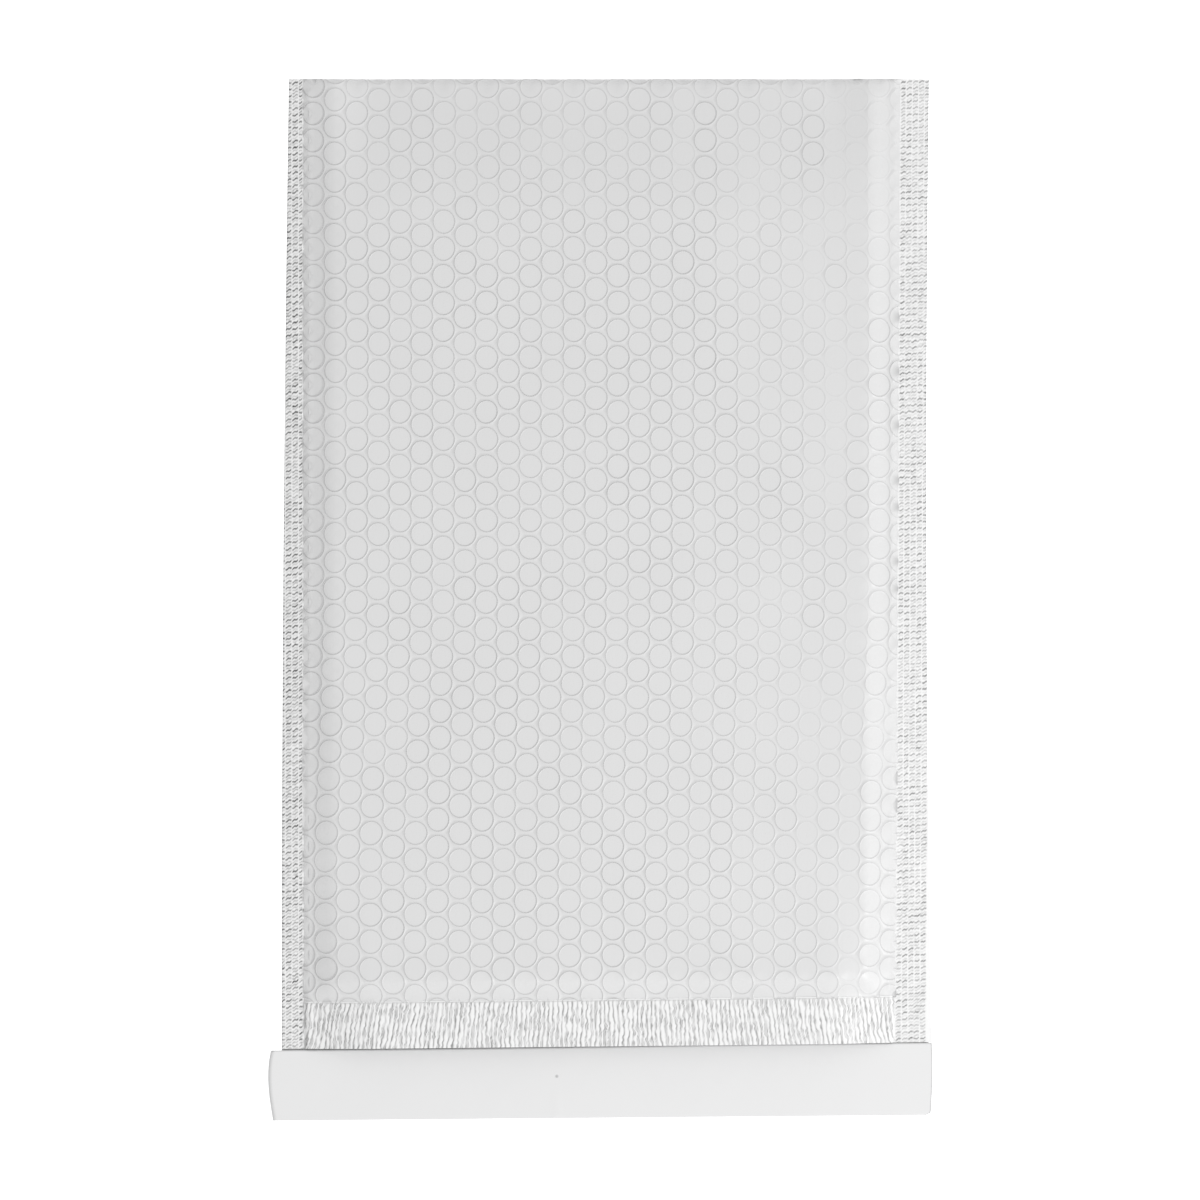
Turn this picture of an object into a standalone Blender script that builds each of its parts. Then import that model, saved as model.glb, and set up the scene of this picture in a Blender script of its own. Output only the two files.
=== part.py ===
"""A padded mailing envelope of white film, lined with bubble film, lying flat with its flap open.

Metres, +Z up. The closed end is at +Y, the mouth and its flap at -Y, and the origin is under the
middle of the whole object. The cover is one web of film: it runs from the front lip up the front,
round the fold, down the back and out into the flap, and its two sides are welded. The lining is one
folded web of bubble film inside it, and the pocket between its two plies stands a little open.
"""

from math import cos, pi, sin

import bmesh
import bpy

MM = 0.001

# The cover, seen from above. Its edges are not quite straight, as on real film.
FOLD_Y = 219.2 * MM
LIP_LEFT_Y = -189.0 * MM
LIP_RIGHT_Y = -186.2 * MM
SIDE_LEFT_X = -133.9 * MM
SIDE_LEFT_PULL = 3.1 * MM
SIDE_RIGHT_X = 137.3 * MM
SIDE_RIGHT_FLARE = 2.2 * MM
WAIST_Y = 50 * MM
WELD_LEFT_X = -124.9 * MM
WELD_RIGHT_MOUTH_X = 124.2 * MM
WELD_RIGHT_FOLD_X = 126.2 * MM
MOUTH_BAND = 19.5 * MM

# Thicknesses, and the clearance between pieces that touch on the real envelope.
FILM = 0.2 * MM
WELD_FILL = 0.4 * MM
WELD_ROW_SHIFT = 5 * MM
WELD_FROM_FOLD = 1.6 * MM
CLEARANCE = 0.3 * MM
PLY = 2.6 * MM
PLY_PRESSED = 0.5 * MM

# How far the pocket stands open, and how the cover comes down to its welds.
POCKET_GAPE = 5.0 * MM
MOUTH_GAPE = 5.7 * MM
CLOSED_GAPE = 0.6 * MM
SIDE_RAMP = 30 * MM
FOLD_RAMP = 60 * MM
BAND_RAMP = 10 * MM
PLY_RAMP = 12 * MM
WELD_HEIGHT = 4.2 * MM
WELD_DROOP = 0.1
WELD_RAMP = 96 * MM

# The flap and what it carries.
FLAP_END_Y = -215.6 * MM
ADHESIVE = 0.25 * MM
LINER = 0.2 * MM
LINER_LEFT_X = -138.4 * MM
LINER_LEFT_BOW = 1.7 * MM
LINER_RIGHT_X = 139.6 * MM
LINER_RIGHT_BOW = 0.5 * MM
LINER_END_LEFT_Y = -219.2 * MM
LINER_END_RIGHT_Y = -216.8 * MM

# Where the surfaces have their corners: distances in from a weld, and places along Y.
IN_FROM_WELD = [d * MM for d in (0, 2.4, 5, 9, 15, 22, 30)]
MIDDLE_X = [x * MM for x in (-45, 0, 45)]
BODY_Y = [y * MM for y in (*range(-155, -80, 10), -20, 60, 130, 158, 176, 192, 205)]
BAND_SHARES = (0.0, 0.5, 1.0, 1.17, 1.34, 1.51)
WELD_BAND_SHARES = (0.25, 0.75, 1.25, 1.6)
NOSE_TURNS = 6
FLAP_SHARES = (0.02, 0.22, 0.52, 0.82, 1.0)
ADHESIVE_SHARES = FLAP_SHARES[1:4]

WHITE_FILM = ((0.90, 0.90, 0.90, 1.0), 0.38)
BUBBLE_FILM = ((0.86, 0.88, 0.90, 1.0), 0.22)
HOT_MELT = ((0.90, 0.88, 0.80, 1.0), 0.45)
RELEASE_PAPER = ((0.88, 0.88, 0.88, 1.0), 0.55)


def ease(share):
    """From 0 to 1, level at both ends."""
    share = min(max(share, 0.0), 1.0)
    return share * share * (3 - 2 * share)


def mix(a, b, share):
    return a + (b - a) * share


def up_body(y):
    """How far up the envelope a place is, from 0 at the mouth to 1 at the fold."""
    return (y - LIP_LEFT_Y) / (FOLD_Y - LIP_LEFT_Y)


def lip_y(x):
    """The edge of the mouth, which is cut a little out of square."""
    return mix(LIP_LEFT_Y, LIP_RIGHT_Y, (x - SIDE_LEFT_X) / (SIDE_RIGHT_X - SIDE_LEFT_X))


def side_left(y):
    return SIDE_LEFT_X + SIDE_LEFT_PULL * up_body(y) ** 2


def side_right(y):
    return SIDE_RIGHT_X + SIDE_RIGHT_FLARE * ((y - WAIST_Y) / (LIP_LEFT_Y - WAIST_Y)) ** 2


def weld_left(_y):
    return WELD_LEFT_X


def weld_right(y):
    return mix(WELD_RIGHT_MOUTH_X, WELD_RIGHT_FOLD_X, up_body(y))


def from_weld(x, y):
    """The distance in from the nearer side weld, and 0 on the welds."""
    return max(0.0, min(x - weld_left(y), weld_right(y) - x))


def past_weld(x, y):
    """The distance outwards across a weld, and 0 between them."""
    return max(0.0, weld_left(y) - x, x - weld_right(y))


def swell(x, y):
    """How fully the envelope has opened here, from 0 at a weld to 1 over the middle."""
    return ease(from_weld(x, y) / SIDE_RAMP)


def ply(x, y):
    """The lining's thickness: it is pressed flat beside the welds and in the band at the mouth."""
    past_band = ease((y - lip_y(x) - MOUTH_BAND) / BAND_RAMP)
    past_edge = ease((from_weld(x, y) - IN_FROM_WELD[1]) / PLY_RAMP)
    return mix(PLY_PRESSED, PLY, past_band * past_edge)


def gape(x, y):
    """The clear height of the pocket between the two plies."""
    opened = mix(MOUTH_GAPE, POCKET_GAPE, ease((y - lip_y(x)) / (2 * MOUTH_BAND)))
    return mix(CLOSED_GAPE, opened, swell(x, y) * ease((FOLD_Y - y) / FOLD_RAMP))


def film_half(x, y):
    """From the middle of the pocket to the middle of the film, which closes onto the welds."""
    opened = gape(x, y) / 2 + ply(x, y) + CLEARANCE + FILM / 2
    return mix(FILM, opened, min(1.0, from_weld(x, y) / IN_FROM_WELD[1]))


def ply_half(x, y):
    """From the middle of the pocket to the middle of a ply."""
    return gape(x, y) / 2 + ply(x, y) / 2


def back_z(x, y):
    """The middle of the back film: flat in the middle, up to the welds, and flat at the mouth."""
    weld = WELD_HEIGHT - WELD_DROOP * past_weld(x, y)
    off_table = ease((y - LIP_RIGHT_Y) / WELD_RAMP)
    return FILM / 2 + weld * (1 - swell(x, y)) * off_table


def middle_z(x, y):
    """The middle of the pocket, halfway between the two plies."""
    return back_z(x, y) + film_half(x, y)


def lining_x(y):
    """The lining's columns at one Y, from weld to weld."""
    left = [weld_left(y) + d for d in IN_FROM_WELD]
    right = [weld_right(y) - d for d in reversed(IN_FROM_WELD)]
    return (left + MIDDLE_X + right)[1:-1]


def cover_x(y):
    """The cover's columns at one Y, out to the cut edges of its welds."""
    return [side_left(y), weld_left(y), *lining_x(y), weld_right(y), side_right(y)]


def hairpin(x, half, tip):
    """One line along a folded web: up the front, round the fold and down the back, as (y, z).

    half(x, y) is the web's distance from the middle of the pocket, and tip its furthest Y.
    """
    lip = lip_y(x)
    rows = [lip + MOUTH_BAND * share for share in BAND_SHARES] + BODY_Y
    radius = half(x, tip)
    turns = [pi * n / NOSE_TURNS for n in range(NOSE_TURNS + 1)]
    front = [(y, middle_z(x, y) + half(x, y)) for y in rows]
    nose = [(tip - radius + radius * sin(a), middle_z(x, tip) + radius * cos(a)) for a in turns]
    back = [(y, middle_z(x, y) - half(x, y)) for y in reversed(rows)]
    return front + nose + back


def flap_y(x, share):
    """A place on the flap, from 0 at the mouth to 1 at the flap's end."""
    return mix(lip_y(x), FLAP_END_Y, share)


def web_lines(columns, half, tip, flap_shares=()):
    """The lines of a folded web, one for each column, with the flap's rows after the back's."""
    lines = []
    for column, x in enumerate(columns(LIP_LEFT_Y)):
        path = hairpin(x, half, tip)
        path += [(y, back_z(x, y)) for y in (flap_y(x, share) for share in flap_shares)]
        lines.append([(columns(y)[column], y, z) for y, z in path])
    return lines


def in_group(name, mesh, look, group):
    """A named object with a Principled material of its own, in its collection."""
    colour, roughness = look
    material = bpy.data.materials.new(name)
    material.use_nodes = True
    shader = material.node_tree.nodes["Principled BSDF"]
    shader.inputs["Base Color"].default_value = colour
    shader.inputs["Roughness"].default_value = roughness
    shader.inputs["Metallic"].default_value = 0.0
    mesh.materials.append(material)
    made = bpy.data.objects.new(name, mesh)
    group.objects.link(made)
    return made


def sheet(name, lines, thickness, look, group, shares=None):
    """A web as a solid: a grid whose corners are moved onto lines, then Solidify about its middle.

    lines holds a list of points for each column of the grid, and shares, where the web isn't of one
    thickness, each point's share of it.
    """
    across, along = len(lines) - 1, len(lines[0]) - 1
    bm = bmesh.new()
    bmesh.ops.create_grid(bm, x_segments=across, y_segments=along, size=1.0)
    bm.verts.index_update()
    places = {}
    for corner in bm.verts:
        column = round((corner.co.x + 1) / 2 * across)
        row = round((corner.co.y + 1) / 2 * along)
        corner.co = lines[column][row]
        places[corner.index] = (column, row)
    mesh = bpy.data.meshes.new(name)
    bm.to_mesh(mesh)
    bm.free()
    mesh.shade_smooth()
    made = in_group(name, mesh, look, group)
    wall = made.modifiers.new("Thickness", "SOLIDIFY")
    wall.thickness = thickness
    wall.offset = 0.0
    wall.use_even_offset = True
    if shares:
        padding = made.vertex_groups.new(name="Padding")
        for index, (column, row) in places.items():
            padding.add([index], shares[column][row], "REPLACE")
        wall.vertex_group = padding.name
    return made


def make_cover(group, helpers):
    """The film web, with a filling joined in along each side where front and back are welded."""
    lines = web_lines(cover_x, film_half, FOLD_Y - FILM / 2, FLAP_SHARES)
    cover = sheet("outer_film", lines, FILM, WHITE_FILM, group)
    for name, edge, inner, way in (
        ("weld_left", side_left, weld_left, 1),
        ("weld_right", side_right, weld_right, -1),
    ):
        weld = sheet(name, weld_lines(edge, inner, way), WELD_FILL, WHITE_FILM, helpers)
        weld.hide_render = True
        weld.display_type = "WIRE"
        join = cover.modifiers.new(name, "BOOLEAN")
        join.operation = "UNION"
        join.solver = "EXACT"
        join.object = weld
    return cover


def weld_lines(edge, inner, way):
    """Two lines along a weld, each held back from the film's own edges by the clearance.

    Their rows fall between the film's, so that the two surfaces cross cleanly when they are joined.
    """
    lines = []
    for place, inset in ((edge, way * CLEARANCE), (inner, -way * CLEARANCE)):
        lip = lip_y(place(LIP_LEFT_Y))
        rows = [lip + CLEARANCE] + [lip + MOUTH_BAND * share for share in WELD_BAND_SHARES]
        rows += [y + WELD_ROW_SHIFT for y in BODY_Y[:-1]] + [FOLD_Y - WELD_FROM_FOLD]
        xs = [place(y) + inset for y in rows]
        lines.append([(x, y, back_z(x, y) + FILM) for x, y in zip(xs, rows)])
    return lines


def make_lining(group):
    """The bubble film, folded once, thick over the pocket and pressed thin at its edges."""
    tip = FOLD_Y - FILM - CLEARANCE - PLY / 2
    lines = web_lines(lining_x, ply_half, tip)
    shares = [[ply(x, y) / PLY for x, y, _z in line] for line in lines]
    return sheet("bubble_lining", lines, PLY, BUBBLE_FILM, group, shares)


def on_flap(x, y, height):
    """A point at a height over the outer face of the flap's film."""
    return (x, y, back_z(x, y) + FILM / 2 + height)


def make_adhesive(group):
    """The hot-melt strip that closes the flap, from weld to weld."""
    height = CLEARANCE + ADHESIVE / 2
    lines = []
    for x in cover_x(LIP_LEFT_Y)[1:-1]:
        lines.append([on_flap(x, flap_y(x, share), height) for share in ADHESIVE_SHARES])
    return sheet("adhesive_strip", lines, ADHESIVE, HOT_MELT, group)


def liner_line(x, across, height):
    """One line down the release strip, across which is its share of the way from left to right."""
    end = mix(LINER_END_LEFT_Y, LINER_END_RIGHT_Y, across)
    rows = [flap_y(x, share) for share in FLAP_SHARES] + [end]
    bows = [sin(pi * (rows[0] - y) / (rows[0] - end)) for y in rows]
    if across == 0.0:
        return [on_flap(x - LINER_LEFT_BOW * bow, y, height) for y, bow in zip(rows, bows)]
    if across == 1.0:
        return [on_flap(x + LINER_RIGHT_BOW * bow, y, height) for y, bow in zip(rows, bows)]
    return [on_flap(x, y, height) for y in rows]


def make_liner(group):
    """The release strip over the flap, longer than the flap at its left end, with bowed ends."""
    height = 2 * CLEARANCE + ADHESIVE + LINER / 2
    xs = [LINER_LEFT_X, *cover_x(LIP_LEFT_Y)[:-1], LINER_RIGHT_X]
    shares = [(x - LINER_LEFT_X) / (LINER_RIGHT_X - LINER_LEFT_X) for x in xs]
    lines = [liner_line(x, share, height) for x, share in zip(xs, shares)]
    return sheet("release_liner", lines, LINER, RELEASE_PAPER, group)


def main():
    for left_over in list(bpy.data.objects):
        bpy.data.objects.remove(left_over)
    envelope = bpy.data.collections.new("padded_envelope")
    helpers = bpy.data.collections.new("helpers")
    for group in (envelope, helpers):
        bpy.context.scene.collection.children.link(group)
    helpers.hide_render = True
    make_cover(envelope, helpers)
    make_lining(envelope)
    make_adhesive(envelope)
    make_liner(envelope)


main()
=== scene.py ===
"""The looks of a padded mailing envelope: white film over bubble film, welded at its sides.

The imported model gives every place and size. Each cell below makes one piece or one finish.
"""

# %% [markdown]
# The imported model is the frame. It is loaded first, and its boxes are kept, because every place
# below is worked out from them and nothing is fitted by eye.

import bpy
import numpy as np
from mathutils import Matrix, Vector


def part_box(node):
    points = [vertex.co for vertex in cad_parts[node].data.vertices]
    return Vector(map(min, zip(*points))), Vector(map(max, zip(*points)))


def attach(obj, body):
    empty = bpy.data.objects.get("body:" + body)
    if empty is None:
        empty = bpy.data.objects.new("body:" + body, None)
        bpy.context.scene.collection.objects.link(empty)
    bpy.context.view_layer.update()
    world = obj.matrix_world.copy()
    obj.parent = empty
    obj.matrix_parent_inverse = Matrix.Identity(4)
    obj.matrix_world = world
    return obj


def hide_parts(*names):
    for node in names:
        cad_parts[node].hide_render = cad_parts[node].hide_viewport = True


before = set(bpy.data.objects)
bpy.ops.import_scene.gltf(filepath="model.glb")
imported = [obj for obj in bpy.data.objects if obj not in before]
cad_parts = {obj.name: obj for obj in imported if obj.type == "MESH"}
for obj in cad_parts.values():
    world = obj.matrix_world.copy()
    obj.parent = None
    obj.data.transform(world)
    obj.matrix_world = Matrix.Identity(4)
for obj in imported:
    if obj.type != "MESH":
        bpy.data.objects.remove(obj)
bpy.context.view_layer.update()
cover_low, cover_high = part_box("outer_film")
liner_low, liner_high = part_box("release_liner")
print("cover", cover_low, cover_high)

# %% [markdown]
# An envelope like this is cut from one web of film, so a few sizes fix all of it: where the fold,
# the lip and the two side welds lie, how thick the padding is, and how far the pocket stands open.
# The edges of real film are never quite straight, so each edge is a short formula in y.

# %% Driving sizes
MM = 0.001
FOLD_Y = cover_high[1]
LIP_LEFT_Y = FOLD_Y - 408.2 * MM
LIP_RIGHT_Y = FOLD_Y - 405.4 * MM
SIDE_LEFT_X = cover_low[0]
SIDE_LEFT_PULL = 3.1 * MM
SIDE_RIGHT_X = 137.3 * MM
SIDE_RIGHT_FLARE = 2.2 * MM
WAIST_Y = 50 * MM
WELD_LEFT_X = SIDE_LEFT_X + 9 * MM
WELD_RIGHT_MOUTH_X = 124.2 * MM
WELD_RIGHT_FOLD_X = 126.2 * MM
MOUTH_BAND = 19.5 * MM
FLAP_END_Y = cover_low[1]
FILM = 0.2 * MM
CLEARANCE = 0.3 * MM
PLY = 2.6 * MM
PLY_PRESSED = 0.5 * MM
POCKET_GAPE = 5.0 * MM
MOUTH_GAPE = 5.7 * MM
CLOSED_GAPE = 0.6 * MM
SIDE_RAMP = 30 * MM
FOLD_RAMP = 60 * MM
BAND_RAMP = 10 * MM
PLY_RAMP = 12 * MM
SHUT_RAMP = 2.4 * MM
WELD_HEIGHT = 4.2 * MM
WELD_DROOP = 0.1
WELD_RAMP = 96 * MM
SHEET = 0.1 * MM

# %% [markdown]
# The same envelope is now written as plain functions of a place (x, y). Each takes whole numpy
# arrays, so one call shapes a whole sheet. They say how far the cover has opened between its welds,
# how thick the padding is, and so how high the front and the back lie.

# %% The envelope as functions of a place
def ease(share):
    """From 0 to 1, level at both ends: 3 s^2 - 2 s^3 of the share, held between 0 and 1."""
    share = np.clip(share, 0.0, 1.0)
    return share * share * (3 - 2 * share)


def mix(a, b, share):
    """a where the share is 0, b where it is 1, and in proportion between."""
    return a + (b - a) * share


def up_body(y):
    return (y - LIP_LEFT_Y) / (FOLD_Y - LIP_LEFT_Y)


def lip_y(x):
    """The edge of the mouth, a straight line a little out of square."""
    return mix(LIP_LEFT_Y, LIP_RIGHT_Y, (x - SIDE_LEFT_X) / (SIDE_RIGHT_X - SIDE_LEFT_X))


def side_left(y):
    return SIDE_LEFT_X + SIDE_LEFT_PULL * up_body(y) ** 2


def side_right(y):
    return SIDE_RIGHT_X + SIDE_RIGHT_FLARE * ((y - WAIST_Y) / (LIP_LEFT_Y - WAIST_Y)) ** 2


def weld_left(y):
    return WELD_LEFT_X + 0 * y


def weld_right(y):
    return mix(WELD_RIGHT_MOUTH_X, WELD_RIGHT_FOLD_X, up_body(y))


def from_weld(x, y):
    """The distance in from the nearer weld, and 0 on the welds."""
    return np.clip(np.minimum(x - weld_left(y), weld_right(y) - x), 0.0, None)


def past_weld(x, y):
    """The distance outwards across a weld, and 0 between the two."""
    return np.clip(np.maximum(weld_left(y) - x, x - weld_right(y)), 0.0, None)


def swell(x, y):
    return ease(from_weld(x, y) / SIDE_RAMP)


def ply(x, y):
    """The padding's thickness: full over the pocket, pressed at the welds and along the mouth."""
    past_band = ease((y - lip_y(x) - MOUTH_BAND) / BAND_RAMP)
    return mix(PLY_PRESSED, PLY, past_band * ease((from_weld(x, y) - SHUT_RAMP) / PLY_RAMP))


def gape(x, y):
    """The clear height of the pocket."""
    opened = mix(MOUTH_GAPE, POCKET_GAPE, ease((y - lip_y(x)) / (2 * MOUTH_BAND)))
    return mix(CLOSED_GAPE, opened, swell(x, y) * ease((FOLD_Y - y) / FOLD_RAMP))


def film_half(x, y):
    """From the middle of the pocket to the middle of the film."""
    opened = gape(x, y) / 2 + ply(x, y) + CLEARANCE + FILM / 2
    return mix(FILM, opened, ease(from_weld(x, y) / SHUT_RAMP))


def weld_lift(x, y):
    """How far the welds stand off the table: level with it at the mouth, then rising."""
    return (WELD_HEIGHT - WELD_DROOP * past_weld(x, y)) * ease((y - LIP_RIGHT_Y) / WELD_RAMP)


def back_z(x, y):
    """The middle of the back film: flat in the middle, up to the welds, and flat at the mouth."""
    return FILM / 2 + weld_lift(x, y) * (1 - swell(x, y))


def middle_z(x, y):
    return back_z(x, y) + film_half(x, y)


print("height over the middle", back_z(0.0, 0.0) + 2 * film_half(0.0, 0.0))

# %% [markdown]
# A sheet of film that is folded in half is easiest to lay out by its length: go up the front by a
# distance v, and past a certain v the sheet turns round the fold. One function turns (x, v) into a
# point for the front or the back, and the slope between near points gives the way the film faces,
# so that the bubbles can be pushed out along it.

# %% Front and back as one folded web
FOLD_TIP = FOLD_Y - FILM / 2
PROBE = 0.05 * MM


def on_cover(x, v, side):
    """The point of the cover at x, v along its length. side is 1 on the front, -1 on the back.

    Up to the turn the height is that of the film over the pocket's middle; then the sheet follows
    a quarter turn, a little squarer than a circle, and ends at the middle at the tip of the fold.
    """
    radius = film_half(x, FOLD_TIP)
    start = FOLD_TIP - radius
    turned = np.clip((v - start) / radius, 0.0, np.pi / 2)
    y = np.where(v < start, v, start + radius * np.sin(turned))
    flat = np.minimum(v, start)
    half = film_half(x, flat) * np.cos(turned) ** 0.6
    return np.stack([x + 0 * y, y, middle_z(x, flat) + side * half], -1)


def last_v(x):
    """How long the web is, at x, from y = 0 to the tip of the fold."""
    radius = film_half(x, FOLD_TIP)
    return FOLD_TIP - radius + radius * np.pi / 2


def out_of(x, v, side):
    """The unit direction in which the film faces: the cross product of its two slopes."""
    along_x = on_cover(x + PROBE, v, side) - on_cover(x - PROBE, v, side)
    along_v = on_cover(x, v + PROBE, side) - on_cover(x, v - PROBE, side)
    facing = np.cross(along_x, along_v) * side
    return facing / np.linalg.norm(facing, axis=-1, keepdims=True).clip(1e-12)


# %% [markdown]
# Film wrinkles and fades without a pattern, but the same each time the script runs. A smooth noise
# does that: random heights on a coarse grid, eased between its corners.

# %% A repeatable noise
rng = np.random.default_rng(11)
NOISE = rng.random((257, 257))


def noise(a, b):
    """Smooth noise from -1 to 1: the four corners round (a, b) in a table, eased together."""
    i, j = np.floor(a).astype(int), np.floor(b).astype(int)
    s, t = ease(a - i), ease(b - j)
    i0, j0, i1, j1 = i % 257, j % 257, (i + 1) % 257, (j + 1) % 257
    low = mix(NOISE[i0, j0], NOISE[i1, j0], s)
    high = mix(NOISE[i0, j1], NOISE[i1, j1], s)
    return 2 * mix(low, high, t) - 1


print("noise at a few places", noise(np.arange(3) * 0.7, np.arange(3) * 0.3).round(2))

# %% [markdown]
# A mesh is filled from whole arrays with foreach_set, which is hundreds of times quicker than
# adding faces one by one. Grids share one helper that numbers their faces.

# %% From arrays to a mesh
def piece_of(name, points, faces, material):
    """An object at the origin from an array of points and one of faces (all of the same sides)."""
    mesh = bpy.data.meshes.new(name)
    sides = faces.shape[1]
    mesh.vertices.add(len(points))
    mesh.vertices.foreach_set("co", points.astype(np.float32).ravel())
    mesh.loops.add(faces.size)
    mesh.loops.foreach_set("vertex_index", faces.astype(np.int32).ravel())
    mesh.polygons.add(len(faces))
    mesh.polygons.foreach_set("loop_start", np.arange(0, faces.size, sides, dtype=np.int32))
    mesh.polygons.foreach_set("use_smooth", np.ones(len(faces), bool))
    mesh.update(calc_edges=True)
    mesh.validate()
    mesh.materials.append(material)
    made = bpy.data.objects.new(name, mesh)
    bpy.context.scene.collection.objects.link(made)
    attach(made, "root")
    print(name, len(points), "points", len(faces), "faces")
    return made


def mark(piece, values):
    """Keeps a number from 0 to 1 at each point, for the finish to read: how dark to paint it, for
    marks of the bars and for painted shade.
    """
    layer = piece.data.attributes.new("marks_and_painted_shade", "FLOAT", "POINT")
    layer.data.foreach_set("value", np.clip(values, 0, 1).astype(np.float32).ravel())


def grid_faces(rows, columns):
    """Four-sided faces of a grid numbered row by row, turning the same way throughout."""
    at = np.arange(rows * columns).reshape(rows, columns)
    corners = [at[:-1, :-1], at[:-1, 1:], at[1:, 1:], at[1:, :-1]]
    return np.stack([c.ravel() for c in corners], 1)


def thicken(piece, thickness, offset):
    """Solidify: a second skin behind the first, joined round the rim."""
    wall = piece.modifiers.new("Thickness", "SOLIDIFY")
    wall.thickness = thickness
    wall.offset = offset
    return piece


# %% [markdown]
# Shader maths reads best as plain sums. This small class wraps a socket, so that adding or
# multiplying two of them adds the Math node that does it, and node() makes any other node.

# %% Shader maths in Python
class Socket:
    """A node's output, with + - * that add Math nodes, and the tree that it belongs to."""

    def __init__(self, tree, output):
        self.tree, self.output = tree, output

    def math(self, operation, other, first=None):
        made = self.tree.nodes.new("ShaderNodeMath")
        made.operation = operation
        for socket, value in zip(made.inputs, (self if first is None else first, other)):
            plug(self.tree, socket, value)
        return Socket(self.tree, made.outputs[0])

    def __add__(self, other):
        return self.math("ADD", other)

    __radd__ = __add__

    def __mul__(self, other):
        return self.math("MULTIPLY", other)

    __rmul__ = __mul__

    def __sub__(self, other):
        return self.math("SUBTRACT", other)

    def __rsub__(self, other):
        return self.math("SUBTRACT", self, first=other)


def plug(tree, socket, value):
    """Links a Socket, or sets a plain value."""
    if isinstance(value, Socket):
        tree.links.new(value.output, socket)
    else:
        socket.default_value = value


class Finish:
    """A material with its Principled shader, and node() to add any node to it."""

    def __init__(self, name):
        self.material = bpy.data.materials.new(name)
        self.material.use_nodes = True
        self.tree = self.material.node_tree
        self.shader = self.tree.nodes["Principled BSDF"]

    def node(self, kind, settings=None, output=0, **values):
        """Adds a node of a type, sets its settings, then its sockets by name or number."""
        made = self.tree.nodes.new(kind)
        for key, value in (settings or {}).items():
            setattr(made, key, value)
        for key, value in values.items():
            socket = made.inputs[int(key[1:])] if key[1:].isdigit() else made.inputs[key]
            plug(self.tree, socket, value)
        return Socket(self.tree, made.outputs[output])

    def place(self, scale):
        """Object coordinates, stretched by a scale along each axis."""
        where = self.node("ShaderNodeTexCoord", output=3)
        return self.node("ShaderNodeMapping", Vector=where, Scale=scale)

    def noise(self, scale, size, detail=2.0):
        return self.node("ShaderNodeTexNoise", Vector=self.place(scale), Scale=size, Detail=detail)

    def set(self, **values):
        """Sets the shader's sockets: Base_Color stands for Base Color."""
        for key, value in values.items():
            plug(self.tree, self.shader.inputs[key.replace("_", " ")], value)


# %% [markdown]
# White mailer film is polyethylene: it lets no light straight through, is nearly white, and has the
# soft sheen of wax. What varies over it is small: a little tone, a little gloss, and the finest
# wrinkles, which are too small for the mesh and so are bump.

# %% The white film
WHITE = 0.775


def shades(finish, level, mask, spread):
    """A grey that runs from a little under a level to a little over it as the mask goes 0 to 1."""
    low, high = level - spread, level + spread
    return finish.node(
        "ShaderNodeMix",
        {"data_type": "RGBA"},
        output=2,
        _0=mask,
        _6=(low, low, low * 1.002, 1),
        _7=(high, high, high * 1.002, 1),
    )


def bump(finish, height, strength, distance):
    return finish.node(
        "ShaderNodeBump", Height=height, Strength=strength, Distance=distance
    )


def film_finish(name, level, wrinkle):
    """White film with streaks along y and fine wrinkles across, as bump of a given strength,
    painted darker where the points carry painted shade.
    """
    finish = Finish(name)
    mottle = finish.noise((1, 1, 1), 22, 3.0)
    streaks = finish.noise((1, 0.09, 1), 420, 2.0)
    wrinkles = finish.noise((1, 0.55, 1), 900, 2.0)
    height = 0.55 * streaks + 0.45 * wrinkles
    marks_and_painted_shade = finish.node("ShaderNodeAttribute", {"attribute_name": "marks_and_painted_shade"}, output=2)
    # painted shade: the attribute darkens the film on the rims, in the creases, along the fold and
    # along the lip
    finish.set(
        Base_Color=finish.node(
            "ShaderNodeMix",
            {"data_type": "RGBA"},
            output=2,
            _0=0.34 * marks_and_painted_shade,
            _6=shades(finish, level, mottle, 0.02),
            _7=(0.1, 0.1, 0.1, 1),
        ),
        Roughness=0.34 + 0.14 * mottle,
        Specular_IOR_Level=0.45,
        Normal=bump(finish, height, wrinkle, 0.0002),
    )
    return finish.material


def bar_marks_and_painted_shade_finish():
    """Where hot bars pressed the film it went glossy. The attribute paints it from white to near
    black: painted shade in the flutes and along edges, and in the dashes both painted shade and
    film pressed clear.
    """
    finish = Finish("bar_marks_and_painted_shade_film")
    marks_and_painted_shade = finish.node("ShaderNodeAttribute", {"attribute_name": "marks_and_painted_shade"}, output=2)
    grain = finish.noise((1, 1, 1), 600, 2.0)
    finish.set(
        Base_Color=finish.node(
            "ShaderNodeMix",
            {"data_type": "RGBA"},
            output=2,
            _0=marks_and_painted_shade,
            _6=(1.0, 1.0, 1.0, 1),
            _7=(0.02, 0.02, 0.02, 1),
        ),
        Roughness=0.3 + 0.15 * grain,
        Normal=bump(finish, grain, 0.25, 0.0002),
    )
    return finish.material


film = film_finish("white_film", WHITE, 0.35)
bar_marks_and_painted_shade_film = bar_marks_and_painted_shade_finish()

# %% [markdown]
# Bubble film holds its bubbles in staggered columns. On this envelope they are 9.4 mm across, a
# column every 9.1 mm and a bubble every 11.4 mm along it. The film over them sinks a little on each
# bubble, stands up in a thin rim round it, and creases between neighbours. A cell of the pattern is
# a hexagon round one bubble: rings of points run from its centre to its edge, and cells share their
# edge points. So each rim is round and sharp with few faces, where a square grid fine enough to
# show it would need millions. The disc has two rings close to its rim, which keep it flat when the
# film is shaded smoothly. The crest of the rim and the deepest creases are painted grey: painted
# shade for the dark line round each rim and along the creases.

# %% The cell round one bubble
BUBBLE = 9.4 * MM
COLUMN = 9.135 * MM
ALONG = 11.41 * MM
SPOKES = 24
TALLER = 1.06
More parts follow.
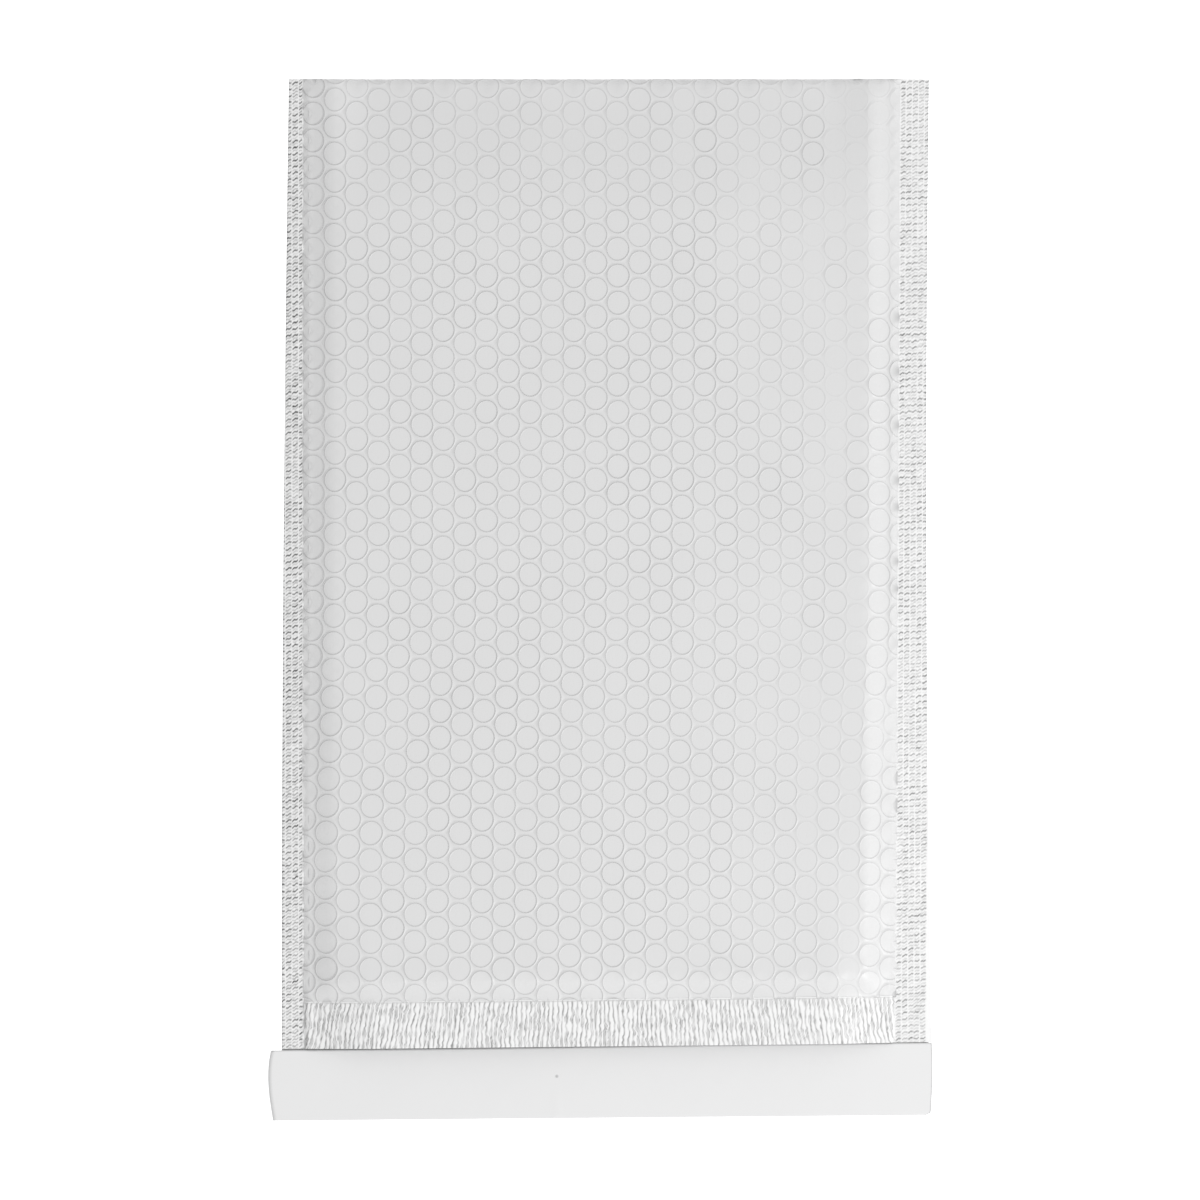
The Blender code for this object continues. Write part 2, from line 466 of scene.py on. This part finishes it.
# each ring from the centre out: its radius over the bubble's, its height in mm, and how much
# painted shade darkens it
RINGS = (0.0, 0.88, 0.925, 0.98, 1.03)
RING_HEIGHTS = (-0.15, -0.15, -0.15, 0.22, 0.0)
RING_PAINTED_SHADE = (0.0, 0.0, 0.0, 0.85, 0.1)
CREASE_DEPTH = 0.15
CREASE_PAINTED_SHADE = 0.25
TIP_X = (COLUMN**2 + ALONG**2 / 4) / (2 * COLUMN)
SHOULDER_X = COLUMN - TIP_X


def hexagon():
    """The cell's edge: six corners halfway between neighbours, with equal steps along each side."""
    half = ALONG / 2
    corners = np.array(
        [
            (TIP_X, 0),
            (SHOULDER_X, half),
            (-SHOULDER_X, half),
            (-TIP_X, 0),
            (-SHOULDER_X, -half),
            (SHOULDER_X, -half),
        ]
    )
    steps = np.arange(SPOKES // 6) * 6 / SPOKES
    nexts = np.roll(corners, -1, axis=0)
    sides = corners[:, None] + (nexts - corners)[:, None] * steps[None, :, None]
    return sides.reshape(SPOKES, 2)


CELL_EDGE = hexagon()
# creases run up to the right, along two of the six sides
on_crease = np.isin(np.arange(SPOKES) // (SPOKES // 6), (2, 5))
between_corners = np.arange(SPOKES) % (SPOKES // 6) > 0
CREASE = np.where(on_crease & between_corners, -1.0, 0.0)
print("a cell's edge is", CELL_EDGE.shape, "points")

# %% [markdown]
# No two bubbles on a real envelope look alike. The cover is stuck to some and has let go of others,
# so here each bubble has its own strength, and whole columns fade. The web was also pulled askew,
# which shows as columns that lean where the pull was strongest.

# %% How the pattern varies
def askew(x, y):
    """How far the columns are pulled to the left, towards the mouth and most near both sides."""
    most = 2.0 * MM + 2.5 * MM * (x / (130 * MM)) ** 2
    drift = 0.35 * MM * noise(x / (50 * MM), y / (60 * MM))
    return -most * ease((16.8 * MM - y) / (139 * MM)) + drift


def strength(x, y):
    """How sharply a bubble shows, about 0.2 to 1.3: whole columns fade by stretches, and the
    relief is faint along the fold and towards the right."""
    by_column = noise(x / (11 * MM) + 3, y / (48 * MM) + 7)
    by_bubble = noise(x / (4 * MM) + 40, y / (5 * MM) + 19)
    to_right = ease((x - 10 * MM) / (90 * MM))
    near_fold = ease((y - 120 * MM) / (70 * MM))
    fade = 0.14 + 0.36 * to_right + 0.26 * near_fold
    return np.clip(1.1 + 0.2 * by_bubble - fade * (1 + 0.9 * by_column), 0.18, 1.3)


# %% [markdown]
# The bubbles stand in a lattice with one of them at a set place, from which all the others are
# counted. A cell is worked out round every centre in one go: its disc, its rim and its hexagon.

# %% Cells round all the bubbles
LATTICE_X = -10.7 * MM
LATTICE_Y = 10.5 * MM


def lattice(x_low, x_high, y_low, y_high):
    """The centres of all bubbles that reach a rectangle: columns apart by COLUMN, each second one
    half a step further along, with one bubble at the lattice's own origin."""
    first_i, last_i = (x_low - LATTICE_X) / COLUMN, (x_high - LATTICE_X) / COLUMN
    first_j, last_j = (y_low - LATTICE_Y) / ALONG, (y_high - LATTICE_Y) / ALONG
    i = np.arange(np.floor(first_i) - 1, np.ceil(last_i) + 2)
    j = np.arange(np.floor(first_j) - 1, np.ceil(last_j) + 2)
    i, j = np.meshgrid(i, j, indexing="ij")
    x, y = LATTICE_X + i * COLUMN, LATTICE_Y + (j + 0.5 * (i % 2)) * ALONG
    return np.stack([x.ravel(), y.ravel()], 1)


def cells(centres):
    """Points (x, v, height, grey) and faces of a cell round each centre, all centres at once; the
    grey is painted shade.

    Ring by ring: centre + radius * (cos, sin), with the height of that ring; last the hexagon.
    """
    turn = np.arange(SPOKES) * 2 * np.pi / SPOKES
    x, y = centres[:, 0], centres[:, 1]
    strong = strength(x, y)
    size = BUBBLE / 2 * (1 + 0.015 * noise(x / (3 * MM), y / (3 * MM) + 5))
    nudge = 0.14 * MM * np.stack([noise(x * 310, y * 290), noise(x * 270 + 9, y * 330 + 4)], 1)
    spread = np.array(RINGS[1:])
    oval = 1 + 0.014 * np.cos(2 * turn[None, :] + 40 * noise(x * 190, y * 170)[:, None])
    reach = (size[:, None] * oval)[:, None, :] * spread[:, None]
    ring_x = (x + nudge[:, 0])[:, None, None] + reach * np.cos(turn)
    ring_y = (y + nudge[:, 1])[:, None, None] + reach * TALLER * np.sin(turn)
    edge_x = x[:, None] + CELL_EDGE[:, 0]
    edge_y = y[:, None] + CELL_EDGE[:, 1]
    heights = np.array(RING_HEIGHTS)[None, :] * strong[:, None]
    tilt = noise(x * 230 + 3, y * 210 + 8)[:, None, None] * np.cos(turn) * spread[:, None] * 0.03
    ring_h = heights[:, 1:, None] + tilt
    uneven = 0.7 + 0.6 * noise(edge_x / (14 * MM), edge_y / (9 * MM))
    edge_h = CREASE_DEPTH * CREASE[None, :] * uneven
    edge_h = edge_h + 0.05 * noise(edge_x / (6 * MM), edge_y / (21 * MM))
    # painted shade: the crest of each rim and the deepest creases are painted grey
    ring_shade = np.array(RING_PAINTED_SHADE)[None, 1:, None] * strong[:, None, None] + 0 * ring_x
    crease_shade = CREASE_PAINTED_SHADE * (edge_h < -0.08) + 0 * edge_x
    centre = np.stack([x + nudge[:, 0], y + nudge[:, 1], heights[:, 0], 0 * x], 1)[:, None, :]
    rings = np.stack([ring_x, ring_y, ring_h, ring_shade], -1).reshape(len(x), -1, 4)
    edge = np.stack([edge_x, edge_y, edge_h, crease_shade], -1)
    points = np.concatenate([centre, rings, edge], 1)
    return points, cell_faces(len(x), points.shape[1])


def cell_faces(count, per_cell):
    """A fan round the centre, as four-sided faces with a doubled corner, and the rings' bands."""
    spoke = np.arange(SPOKES)
    after = (spoke + 1) % SPOKES
    fan = np.stack([0 * spoke, 1 + spoke, 1 + after, 0 * spoke], 1)
    bands = [
        np.stack([a + spoke, a + SPOKES + spoke, a + SPOKES + after, a + after], 1)
        for a in 1 + SPOKES * np.arange(len(RINGS) - 1)
    ]
    one = np.concatenate([fan, *bands])
    return (np.arange(count)[:, None, None] * per_cell + one[None]).reshape(-1, 4)


# %% [markdown]
# The pattern is laid over a rectangle a little larger than the padded part. Points that fall
# outside it are brought back to its edge, and faces that have no area left are dropped, so that the
# padding ends in a clean line at each weld, at the band and at the fold. Points that two cells
# share are then made one, so that the film is one skin from bubble to bubble.

# %% Laying the pattern on the envelope
FIELD_MARGIN = 0.6 * MM
EDGE_FADE = 1.4 * MM
FOLD_FADE = 1 * MM
SAME_PLACE = 0.002 * MM
NO_AREA = 1e-11


def halves(faces):
    """Each four-sided face as two three-sided ones."""
    return np.concatenate([faces[:, [0, 1, 2]], faces[:, [0, 2, 3]]])


def shared(arrays, faces, step):
    """Makes points one that fall in the same step of space, and drops faces without area.

    arrays holds the points, and then whatever else is known at each point.
    """
    keys = np.round(arrays[0] / step).astype(np.int64)
    _, first, index = np.unique(keys, axis=0, return_index=True, return_inverse=True)
    faces = index.reshape(-1)[faces]
    arrays = [array[first] for array in arrays]
    a, b, c = (arrays[0][faces[:, k]] for k in range(3))
    kept = np.linalg.norm(np.cross(b - a, c - a), axis=1) / 2 > NO_AREA
    return arrays, faces[kept]


def padded_panel(name, side, low_edge, material):
    """The cover over the bubbles on one side: the pattern, held to its edges and pushed out.

    Each point is on_cover(x, v) + height * out_of(x, v), and the height fades to 0 at the edges.
    The film is painted grey as painted shade: on the rims, in the creases, and along the fold, most
    at the left.
    """
    centres = lattice(WELD_LEFT_X, WELD_RIGHT_FOLD_X, LIP_LEFT_Y + MOUTH_BAND, last_v(0.0))
    points, faces = cells(centres)
    flat_x, v, height, grey = points.reshape(-1, 4).T
    x = flat_x + askew(flat_x, v)
    x = np.clip(x, weld_left(v) - FIELD_MARGIN, weld_right(v) + FIELD_MARGIN)
    v = np.clip(v, low_edge(x), last_v(x))
    room = np.minimum(from_weld(x, v), v - low_edge(x)) + FIELD_MARGIN
    inside = ease(room / EDGE_FADE)
    height = height * MM * inside * ease((last_v(x) - v) / FOLD_FADE)
    swollen = 0.10 * MM * noise(x / (26 * MM) + 5, v / (38 * MM)) * ease(room / (8 * MM))
    place = on_cover(x, v, side) + (height + swollen)[:, None] * out_of(x, v, side)
    # painted shade along the fold's edge, darkest at the left
    at_fold = (v > last_v(x) - 0.1 * MM) * mix(1.0, 0.3, ease((x + 60 * MM) / (120 * MM)))
    painted_fold_shade = at_fold * (0.7 + 0.5 * noise(x / (4 * MM), x))
    grey = np.maximum(grey * inside, painted_fold_shade)
    (place, grey), faces = shared((place, grey), halves(faces), SAME_PLACE)
    if side < 0:
        faces = faces[:, ::-1]
    made = piece_of(name, place, faces, material)
    mark(made, grey)
    return made


def band_top(x):
    return lip_y(x) + MOUTH_BAND - 0.3 * MM


front = padded_panel("front_panel", 1, band_top, film)
back = padded_panel("back_panel", -1, band_top, film)
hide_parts("outer_film")

# %% [markdown]
# Along the mouth the cover and its lining are pressed together by a fluted bar. The flutes run
# towards the lip, 2 mm apart, and waver as soft film does, crossing and splitting here and there.
# A cosine across the band gives them, with its phase pushed about by the noise.

# %% The fluted band at the mouth
FLUTE = 2.0 * MM
FLUTE_DEPTH = 0.22 * MM


def flutes(x, y):
    """How deep a flute is at a place, 0 on the crests to 1: a raised cosine of x over the pitch.

    The phase leans towards the middle of the envelope, noise bends it, and where a slower noise is
    high a second cosine of twice the pitch splits each crest.
    """
    lean = 0.15 * np.sin(np.pi * np.clip(x / (130 * MM), -1, 1) / 2) * (y - lip_y(x)) / FLUTE
    waver = 0.20 * noise(x / (2.9 * MM), y / (2.6 * MM)) + 0.22 * noise(x / (8 * MM), y / (9 * MM))
    nick = 0.13 * noise(x / (1.1 * MM), y / (1.2 * MM))
    phase = x / FLUTE + lean + waver + nick
    deep = (0.5 + 0.5 * np.cos(2 * np.pi * phase)) ** 5
    split = (0.5 + 0.5 * np.cos(2 * np.pi * (2 * phase + 0.5 + 0.5 * waver))) ** 4
    often = ease(0.5 + 1.3 * noise(x / (2.6 * MM) + 50, y / (3.2 * MM)))
    patchy = 0.75 + 0.4 * noise(x / (1.2 * MM), y / (1.9 * MM) + 31)
    return np.clip((deep * (1 - 0.4 * often) + 0.8 * split * often) * patchy * 1.25, 0, 1)


def band_share(x, y):
    """1 within the band, easing to 0 at its top and at the welds."""
    below_top = ease((lip_y(x) + MOUTH_BAND - y) / (0.9 * MM))
    return below_top * ease((from_weld(x, y) + 1.0 * MM) / (2 * MM))


def bold(x):
    """How strongly the marks read: most at the left, least at the right."""
    return mix(1.25, 1.12, ease((x + 130 * MM) / (260 * MM)))


def across(y, step, low, high, tuck=0.0):
    """Evenly spaced x from one edge to the other at each y, as a grid with a row for each y."""
    count = int(round((high(0.0) - low(0.0) + 2 * tuck) / step)) + 1
    share = np.linspace(0, 1, count)[None, :]
    return mix((low(y) - tuck)[:, None], (high(y) + tuck)[:, None], share)


def mouth_band(name, side, step):
    """The pressed band of the cover on one side: a grid on it, with the flutes pressed in."""
    down = np.linspace(0, 1, int(MOUTH_BAND / (1.35 * step)))[:, None]
    x = across(LIP_LEFT_Y + MOUTH_BAND * down[:, 0], step, weld_left, weld_right, 0.2 * MM)
    y = mix(lip_y(x), band_top(x) + 0.8 * MM, down)
    deep = flutes(x, y) * band_share(x, y)
    place = on_cover(x, y, side) - (FLUTE_DEPTH * deep)[..., None] * out_of(x, y, side)
    faces = grid_faces(*x.shape)
    if side < 0:
        faces = faces[:, ::-1]
    made = piece_of(name, place.reshape(-1, 3), faces, bar_marks_and_painted_shade_film)
    # painted shade: the flutes' grooves are painted darker by depth, and a painted shadow line runs
    # along the band's top edge
    edge = 0.5 * np.exp(-(((y - band_top(x)) / (0.35 * MM)) ** 2))
    mark(made, 0.03 + (0.55 * deep + 0.3 * edge) * bold(x))
    return thicken(made, SHEET, -1.0)


front_band = mouth_band("front_mouth_band", 1, 0.31 * MM)
back_band = mouth_band("back_mouth_band", -1, 0.6 * MM)

# %% [markdown]
# The side welds are knurled. The right one is the wider: five short dashes in each row, a row every
# 2.7 mm, and a plain margin of film outside them. The left one was cut close, through its third
# column of dashes. Each dash is a small valley, painted grey at its bottom: partly film pressed
# clear there, and partly painted shade in the valley.

# %% The knurled side welds
ROW = 2.72 * MM
DASH_DEPTH = 0.16 * MM
DASH_WIDTH = 0.33 * MM
WELD_ROWS = 1020
WELD_TOP = 30
WELD_UNDER = 7


def dashes(out, y, first, apart, tilt, seed):
    """How hard each place was pressed, 0 to 1: short dashes in rows, no two quite alike.

    off_row and off_dash run from -1/2 to 1/2 over each dash, from whole numbers that name it; noise
    of those numbers sets its strength and its height. Fainter dashes lie halfway between rows.
    """
    along = (out - first) / apart
    off_dash = along - np.round(along)
    waver = 0.10 * noise(y / (9 * MM) + seed, out / (6 * MM))
    row = y / ROW + waver - tilt * (off_dash + 0.2 * along)
    number = np.round(along) * 7.3 + seed
    found = 0.0
    for shift, share, seat in ((0.0, 1.0, 0.0), (0.5, 0.42, 90.0)):
        own = np.round(row + shift)
        bend = 0.08 * np.cos(9 * off_dash + 3 * noise(own, number))
        off_row = row + shift - own - 0.07 * noise(own * 0.73 + seat, number) - bend
        strong = share * (0.8 + 0.35 * noise(own * 0.61 + seat + 20, number))
        length = ease((0.49 + 0.04 * noise(own * 0.37, number + 9) - np.abs(off_dash)) / 0.12)
        found = found + strong * length * np.exp(-((off_row * ROW / DASH_WIDTH) ** 2))
    speck = 0.16 * noise(out / (0.8 * MM), y / (0.7 * MM)).clip(0)
    return np.clip(found + speck, 0, 1) * ease((4.6 - along) / 0.2)


def side_weld(name, inner, edge, *, first, apart, tilt, strong, seam, seed):
    """A weld from its inner line to the film's cut edge, top and underside in one closed strip.

    first is how far in its first column of dashes lies, apart the step to the next, tilt their
    slant, strong and seam how dark the dashes and the inner line are.
    """
    rows = np.linspace(0, 1, WELD_ROWS)[:, None]
    over, back_under = np.linspace(-0.04, 1, WELD_TOP), np.linspace(1, -0.04, WELD_UNDER)
    share = np.concatenate([over, back_under])[None, :]
    under = np.arange(WELD_TOP + WELD_UNDER)[None, :] >= WELD_TOP
    y = mix(LIP_LEFT_Y, FOLD_Y - 0.2 * MM, rows)
    x = mix(inner(y), edge(y), share)
    y = mix(lip_y(x), FOLD_Y - 0.2 * MM, rows)
    out = np.abs(x - inner(y))
    deep = dashes(out, y, first, apart, tilt, seed) * ease((out - 0.1 * MM) / (0.5 * MM))
    curl = 0.30 * MM * noise(y / (17 * MM), 0 * y + seed) * share**2 * ease(3 * rows)
    top = back_z(x, y) + 2.5 * FILM - DASH_DEPTH * deep + curl
    z = np.where(under, back_z(x, y) - 0.5 * FILM + curl, top)
    faces = grid_faces(*x.shape)
    if edge(0.0) < inner(0.0):
        faces = faces[:, ::-1]
    made = piece_of(name, np.stack([x, y, z], -1).reshape(-1, 3), faces, bar_marks_and_painted_shade_film)
    broken = 0.6 + 0.8 * noise(y / (1.5 * MM), 0 * y + 70)
    seam = seam * np.exp(-((out / (0.3 * MM)) ** 2)) * broken
    # painted shade: a thin grey line along the film's cut edge, and the dashes painted grey by
    # depth, partly as painted shade in their valleys
    rim = 0.02 + 0.2 * np.exp(-(((edge(y) - x) / (0.3 * MM)) ** 2))
    mark(made, (strong * (deep + seam) + rim) * np.where(under, 0.3, 1.0))
    return made


left_weld = side_weld(
    "left_weld",
    weld_left,
    side_left,
    first=3.3 * MM,
    apart=2.8 * MM,
    tilt=-0.35,
    strong=1.18,
    seam=0.4,
    seed=3,
)
right_weld = side_weld(
    "right_weld",
    weld_right,
    side_right,
    first=1.4 * MM,
    apart=2.55 * MM,
    tilt=0.24,
    strong=0.85,
    seam=0.1,
    seed=33,
)

# %% [markdown]
# Behind the band the back film runs on as the flap, which lies flat down to its end. It carries a
# strip of hot-melt adhesive, under a release strip.

# %% The flap
def flap_edge_left(y):
    return side_left(np.maximum(y, LIP_LEFT_Y))


def flap_edge_right(y):
    return side_right(np.maximum(y, LIP_LEFT_Y)) - 1.2 * MM


def make_flap():
    """The flap's film: a grid from the lip line to its end, at the height of the back film.

    Its first row, along the lip, is painted dark: a painted shadow under the lip.
    """
    down = np.linspace(0, 1, 20)[:, None]
    rows = mix(LIP_LEFT_Y, FLAP_END_Y, down[:, 0])
    x = across(rows, 2.5 * MM, flap_edge_left, flap_edge_right)
    y = mix(lip_y(x), FLAP_END_Y, down)
    wave = 0.05 * MM * noise(x / (19 * MM), y / (16 * MM)) * ease(down * 3)
    place = np.stack([x, y, back_z(x, y) + wave.clip(0)], -1)
    faces = grid_faces(*x.shape)[:, ::-1]
    made = piece_of("flap_film", place.reshape(-1, 3), faces, film)
    # painted shadow: the row along the lip is painted dark
    mark(made, (down < 0.01) + 0 * x)
    return thicken(made, SHEET, 0.0)


flap = make_flap()

# %% [markdown]
# The release strip is smooth silicone-coated film, wider than the flap and cut long at its left
# end, where it sticks out past the body. Its ends bow a little and its free corner is rounded. It
# is a grid between four edges, each edge a formula.

# %% The release strip
STRIP_LIFT = 2 * CLEARANCE + 0.25 * MM + FILM
STRIP_LEFT_X = liner_low[0] + 1.7 * MM
STRIP_RIGHT_X = liner_high[0] - 0.5 * MM
STRIP_END_LEFT_Y = liner_low[1]
STRIP_END_RIGHT_Y = liner_low[1] + 2.4 * MM
STRIP_CORNER = 2.0 * MM
FLECK = (-18.2 * MM, -200.5 * MM, 2.0 * MM)


def make_strip():
    """x runs between two bowed ends, y from just off the lip to the far edge.

    The lower right corner is drawn in along a quarter circle, the columns close up towards the
    right end, and a dark line of painted shade is marked along the cut edge there. A fine crimp
    runs across beside the fleck.
    """
    down = np.linspace(0, 1, 40)[:, None]
    along = np.sin(np.linspace(0, np.pi / 2, 240))[None, :]
    bow = np.sin(np.pi * down**0.8)
    left = STRIP_LEFT_X - 1.6 * MM * bow + 0.8 * MM * down
    right = STRIP_RIGHT_X + 0.5 * MM * bow - 0.4 * MM * down
    run = LIP_RIGHT_Y - STRIP_END_RIGHT_Y
    into = np.clip((down * run - (run - STRIP_CORNER)) / STRIP_CORNER, 0, 1)
    right = right - STRIP_CORNER * (1 - np.sqrt(1 - into**2))
    x = mix(left, right, along)
    end = mix(STRIP_END_LEFT_Y, STRIP_END_RIGHT_Y, along)
    gap = mix(0.65 * MM, 0.25 * MM, ease((x + 60 * MM) / (160 * MM)))
    y = mix(lip_y(x) - gap, end, down)
    wave = 0.10 * MM * noise(x / (33 * MM), y / (40 * MM))
    ripple = 0.03 * MM * noise(x / (9 * MM), y / (7 * MM))
    crimp = 0.16 * MM * np.exp(-(((x + 18.3 * MM) / (0.5 * MM)) ** 2)) * ease((down - 0.4) * 3)
    height = back_z(x, np.maximum(y, FLAP_END_Y)) - FILM / 2 + STRIP_LIFT
    place = np.stack([x, y, height + wave + ripple + crimp], -1)
    faces = grid_faces(*x.shape)[:, ::-1]
    made = piece_of("release_strip", place.reshape(-1, 3), faces, strip_film)
    # painted shade: a dark line along the strip's cut right end
    mark(made, np.exp(-(((right - x) / (0.35 * MM)) ** 2)) + 0 * y)
    return thicken(made, 0.15 * MM, -1.0)


def strip_finish():
    """Satin release film: faint drawn lines along x, one tiny dark fleck, and painted shade along
    the cut edge.
    """
    finish = Finish("release_film")
    mottle = finish.noise((1, 1, 1), 16, 2.0)
    drawn = finish.noise((0.06, 1, 1), 300, 2.0)
    where = finish.node("ShaderNodeTexCoord", output=3)
    off = finish.node(
        "ShaderNodeVectorMath",
        {"operation": "DISTANCE"},
        output=1,
        _0=where,
        _1=FLECK,
    )
    fleck = finish.node(
        "ShaderNodeMapRange", Value=off, **{"From Min": 0.5 * MM, "From Max": 1.3 * MM}
    )
    grey = shades(finish, 0.85, mottle, 0.01)
    painted_edge_shade = finish.node("ShaderNodeAttribute", {"attribute_name": "marks_and_painted_shade"}, output=2)
    finish.set(
        Base_Color=finish.node(
            "ShaderNodeMix",
            {"data_type": "RGBA"},
            output=2,
            _0=fleck * (1 - 0.5 * painted_edge_shade),
            _6=(0.12, 0.12, 0.12, 1),
            _7=grey,
        ),
        Roughness=0.36 + 0.1 * mottle,
        Specular_IOR_Level=0.4,
        Normal=bump(finish, drawn, 0.12, 0.0001),
    )
    return finish.material


strip_film = strip_finish()
strip = make_strip()
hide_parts("release_liner")

# %% [markdown]
# Inside is the bubble lining, seen at the mouth. It is one folded web with some thickness, so its
# section is a closed loop: in along the front ply's outside, round the fold, out along the back
# ply, and back along the faces of the pocket. The loop is carried across from weld to weld.

# %% The bubble lining
def loop_heights(x, y, outer, side):
    """A ply's outer or inner face: half the gape from the middle, plus the ply, less some room."""
    half = gape(x, y) / 2 + (ply(x, y) if outer else 0 * x)
    level = middle_z(x, y) + side * half
    facing_in = 0.06 * MM * np.cos(2 * np.pi * x / COLUMN) * np.cos(2 * np.pi * y / ALONG)
    level = level - (0 if outer else side) * facing_in * ease((y - band_top(x)) / (6 * MM))
    return level - (side * 0.12 * MM if outer else 0)


def make_lining():
    """The loop's four runs at each x: front outside, back outside, back inside, front inside."""
    rows = np.concatenate([np.linspace(0, 0.08, 14), np.linspace(0.1, 1, 46)])[:, None]
    inset = 2.6 * MM
    columns = np.linspace(0, 1, 170)[None, :]
    tip = FOLD_Y - FILM - CLEARANCE
    x0 = mix(WELD_LEFT_X + inset, WELD_RIGHT_MOUTH_X - inset, columns)
    runs = []
    for side, outer in ((1, True), (-1, True), (-1, False), (1, False)):
        end = tip - (0 if outer else PLY)
        y = mix(lip_y(x0) + 0.25 * MM, end - 0 * x0, rows)
        x = x0 + 0 * y
        nose = np.sqrt(1 - np.clip((y - (end - 3 * MM)) / (3 * MM), 0, 1) ** 2)
        level = mix(middle_z(x, y), loop_heights(x, y, outer, side), nose)
        run = np.stack([x, y, level], -1)
        runs.append(run if (side > 0) == outer else run[::-1])
    loop = np.concatenate(runs)
    loop = np.concatenate([loop, loop[:1]])
    faces = grid_faces(*loop.shape[:2])
    return loop.reshape(-1, 3), faces


def lining_finish():
    """Milky bubble film: brighter and glossier than the cover, with fine creases."""
    finish = Finish("bubble_film")
    mottle = finish.noise((1, 1, 1), 30, 3.0)
    crease = finish.noise((1, 1, 1), 700, 2.0)
    finish.set(
        Base_Color=shades(finish, WHITE - 0.02, mottle, 0.03),
        Roughness=0.22 + 0.15 * mottle,
        Normal=bump(finish, crease, 0.3, 0.0002),
    )
    return finish.material


points, faces = make_lining()
(points,), faces = shared([points], halves(faces), 1e-6)
lining = piece_of("lining", points, faces, lining_finish())
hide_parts("bubble_lining")

# %% [markdown]
# The hot-melt strip on the flap lies hidden under the release strip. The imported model's own solid
# has its true shape, so it is carried over as it is and only gets its finish.

# %% The adhesive
def adhesive_finish():
    """Hot melt: a warm white, uneven and a little glossy."""
    finish = Finish("hot_melt")
    blobs = finish.noise((0.4, 1, 1), 160, 2.0)
    finish.set(
        Base_Color=shades(finish, 0.7, blobs, 0.05),
        Roughness=0.3 + 0.2 * blobs,
        Normal=bump(finish, blobs, 0.3, 0.0003),
    )
    return finish.material


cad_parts["adhesive_strip"].data.materials.clear()
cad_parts["adhesive_strip"].data.materials.append(adhesive_finish())

# %% [markdown]
# The envelope lies on a plain white light table. A long lens looks straight down on it. The room is
# an even white, which fills everything; one small light from the lower right draws the relief.

# %% The floor, the lights and the camera
def make_floor():
    """A square of floor just under the envelope, paler than the film."""
    half = 4.0
    corners = np.array([(-half, -half, 0), (half, -half, 0), (half, half, 0), (-half, half, 0)])
    mesh = bpy.data.meshes.new("floor")
    mesh.from_pydata(corners + (0, 0, -0.0002), [], [(0, 1, 2, 3)])
    floor = bpy.data.objects.new("floor", mesh)
    bpy.context.scene.collection.objects.link(floor)
    finish = Finish("floor_white")
    tone = finish.noise((1, 1, 1), 3, 1.0)
    finish.set(Base_Color=shades(finish, 0.93, tone, 0.005), Roughness=0.9, Specular_IOR_Level=0.1)
    finish.set(Emission_Color=(1, 1, 1, 1), Emission_Strength=0.5)
    mesh.materials.append(finish.material)


def lamp(name, place, size, power):
    """A square soft light at a place, aimed at the middle of the envelope."""
    data = bpy.data.lights.new(name, "AREA")
    data.shape = "SQUARE"
    data.size = size
    data.energy = power
    light = bpy.data.objects.new(name, data)
    light.location = place
    light.rotation_euler = (-Vector(place)).to_track_quat("-Z", "Y").to_euler()
    bpy.context.scene.collection.objects.link(light)


def make_camera():
    """Straight down over the middle, far enough back that 504 mm fills the frame."""
    data = bpy.data.cameras.new("camera")
    data.lens, data.sensor_width = 250.0, 36.0
    camera = bpy.data.objects.new("camera", data)
    camera.location = (0, 0, 0.504 * data.lens / data.sensor_width + 0.009)
    bpy.context.scene.collection.objects.link(camera)
    bpy.context.scene.camera = camera


make_floor()
make_camera()
lamp("relief_light", (1.35, -0.95, 1.5), 0.3, 20)
world = bpy.data.worlds.new("studio")
world.use_nodes = True
world.node_tree.nodes["Background"].inputs["Color"].default_value = (1, 1, 1, 1)
world.node_tree.nodes["Background"].inputs["Strength"].default_value = 0.68
bpy.context.scene.world = world
bpy.context.scene.view_settings.view_transform = "Standard"
bpy.context.scene.view_settings.look = "None"
